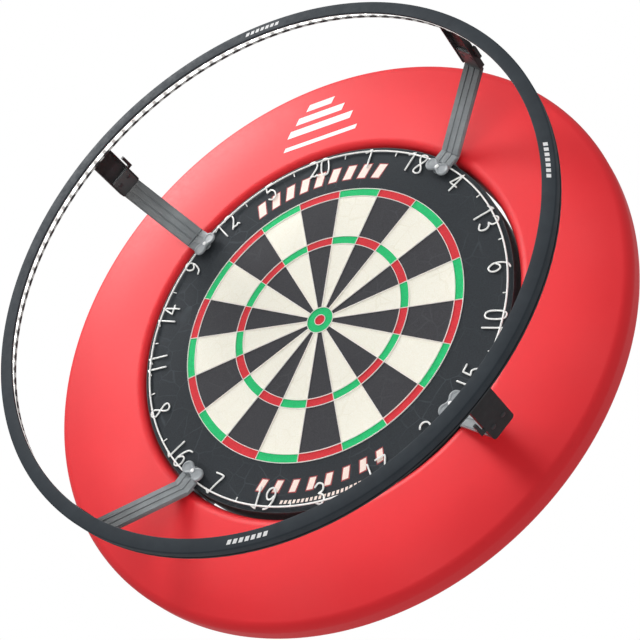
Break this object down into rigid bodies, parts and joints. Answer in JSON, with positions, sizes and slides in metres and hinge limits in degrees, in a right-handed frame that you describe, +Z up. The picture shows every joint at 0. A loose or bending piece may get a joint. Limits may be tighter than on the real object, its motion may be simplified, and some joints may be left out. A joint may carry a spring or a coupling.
{
  "type": "bristle dartboard with ring light",
  "caption": "Wall-hung bristle dartboard with wire numbers, a foam surround and a ring light held in front of it on clamp-on arms with screw knobs.",
  "frame": {"origin": "on the board's axis in the plane of the wall, at the centre of the wall bracket's four screw holes", "axes": "+Z up with the 20 at the top, +Y into the wall, so the playing face and the light face -Y; +X to the right as the thrower sees it"},
  "size_m": [0.6959, 0.1843, 0.696],
  "materials": {
    "zinc_steel": "satin",
    "black_rubber": "matte",
    "chipboard": "matte",
    "sisal": "matte",
    "band_steel": "satin",
    "spider_wire": "satin",
    "number_wire": "gloss",
    "surround_foam": "satin",
    "light_shell": "satin",
    "strip_board": "matte",
    "led_lens": "gloss",
    "jack_plastic": "gloss",
    "wire_sleeve": "matte",
    "rivet_steel": "satin",
    "bracket_plastic": "satin",
    "strap_plastic": "satin",
    "jaw_steel": "satin",
    "knob_plastic": "satin",
    "screw_steel": "satin",
    "cap_plastic": "gloss",
    "foot_plastic": "matte"
  },
  "bodies": {
    "wall": {"wall_bracket": "zinc_steel"},
    "board": {"hanging_screw": "zinc_steel", "rear_pads": "black_rubber", "backing_board": "chipboard", "sisal_disc": "sisal", "steel_band": "band_steel", "radial_wires": "spider_wire", "double_outer_wire": "spider_wire", "double_inner_wire": "spider_wire", "treble_outer_wire": "spider_wire", "treble_inner_wire": "spider_wire", "bull_wire": "spider_wire", "bullseye_wire": "spider_wire", "number_hoop": "number_wire", "number_wires": "number_wire", "hoop_feet": "number_wire", "ring_housing": "light_shell", "ring_rear_cover": "light_shell", "led_strip": "strip_board", "led_chips": "led_lens", "power_jack": "jack_plastic", "jack_pin": "zinc_steel", "feed_wires": "wire_sleeve", "cover_screws": "zinc_steel", "arm_rivets": "rivet_steel", "jaw_rivets": "rivet_steel", "hook_pads": "black_rubber", "bracket_upper_left": "bracket_plastic", "bracket_upper_right": "bracket_plastic", "bracket_lower_left": "bracket_plastic", "bracket_lower_right": "bracket_plastic", "strap_upper_left": "strap_plastic", "strap_upper_right": "strap_plastic", "strap_lower_left": "strap_plastic", "strap_lower_right": "strap_plastic", "jaw_upper_left": "jaw_steel", "jaw_upper_right": "jaw_steel", "jaw_lower_left": "jaw_steel", "jaw_lower_right": "jaw_steel"},
    "surround": {"surround": "surround_foam"},
    "foot_upper_left": {"foot_upper_left": "foot_plastic"},
    "knob_upper_left": {"knob_upper_left": "knob_plastic", "screw_upper_left": "screw_steel", "cap_upper_left": "cap_plastic"},
    "foot_upper_right": {"foot_upper_right": "foot_plastic"},
    "knob_upper_right": {"knob_upper_right": "knob_plastic", "screw_upper_right": "screw_steel", "cap_upper_right": "cap_plastic"},
    "foot_lower_left": {"foot_lower_left": "foot_plastic"},
    "knob_lower_left": {"knob_lower_left": "knob_plastic", "screw_lower_left": "screw_steel", "cap_lower_left": "cap_plastic"},
    "foot_lower_right": {"foot_lower_right": "foot_plastic"},
    "knob_lower_right": {"knob_lower_right": "knob_plastic", "screw_lower_right": "screw_steel", "cap_lower_right": "cap_plastic"}
  },
  "joints": [
    {"name": "board_turn", "type": "hinge", "parent": "wall", "child": "board", "pos_m": [0, -0.006, 0], "axis": [0, -1, 0], "continuous": true},
    {"name": "surround_turn", "type": "hinge", "parent": "board", "child": "surround", "pos_m": [0, -0.063, 0], "axis": [0, -1, 0], "continuous": true},
    {"name": "clamp_slide_upper_left", "type": "slide", "parent": "board", "child": "foot_upper_left", "axis": [0, -1, 0], "range_m": [0, 0.0018]},
    {"name": "knob_turn_upper_left", "type": "hinge", "parent": "foot_upper_left", "child": "knob_upper_left", "pos_m": [-0.15026, -0.0536, 0.15026], "axis": [0, -1, 0], "range_deg": [0, 900]},
    {"name": "clamp_slide_upper_right", "type": "slide", "parent": "board", "child": "foot_upper_right", "axis": [0, -1, 0], "range_m": [0, 0.0018]},
    {"name": "knob_turn_upper_right", "type": "hinge", "parent": "foot_upper_right", "child": "knob_upper_right", "pos_m": [0.15026, -0.0536, 0.15026], "axis": [0, -1, 0], "range_deg": [0, 900]},
    {"name": "clamp_slide_lower_left", "type": "slide", "parent": "board", "child": "foot_lower_left", "axis": [0, -1, 0], "range_m": [0, 0.0018]},
    {"name": "knob_turn_lower_left", "type": "hinge", "parent": "foot_lower_left", "child": "knob_lower_left", "pos_m": [-0.15026, -0.0536, -0.15026], "axis": [0, -1, 0], "range_deg": [0, 900]},
    {"name": "clamp_slide_lower_right", "type": "slide", "parent": "board", "child": "foot_lower_right", "axis": [0, -1, 0], "range_m": [0, 0.0018]},
    {"name": "knob_turn_lower_right", "type": "hinge", "parent": "foot_lower_right", "child": "knob_lower_right", "pos_m": [0.15026, -0.0536, -0.15026], "axis": [0, -1, 0], "range_deg": [0, 900]}
  ],
  "couplings": [
    {"joint": "clamp_slide_upper_left", "follows": "knob_turn_upper_left", "m_per_rad": 0.00011141},
    {"joint": "clamp_slide_upper_right", "follows": "knob_turn_upper_right", "m_per_rad": 0.00011141},
    {"joint": "clamp_slide_lower_left", "follows": "knob_turn_lower_left", "m_per_rad": 0.00011141},
    {"joint": "clamp_slide_lower_right", "follows": "knob_turn_lower_right", "m_per_rad": 0.00011141}
  ]
}
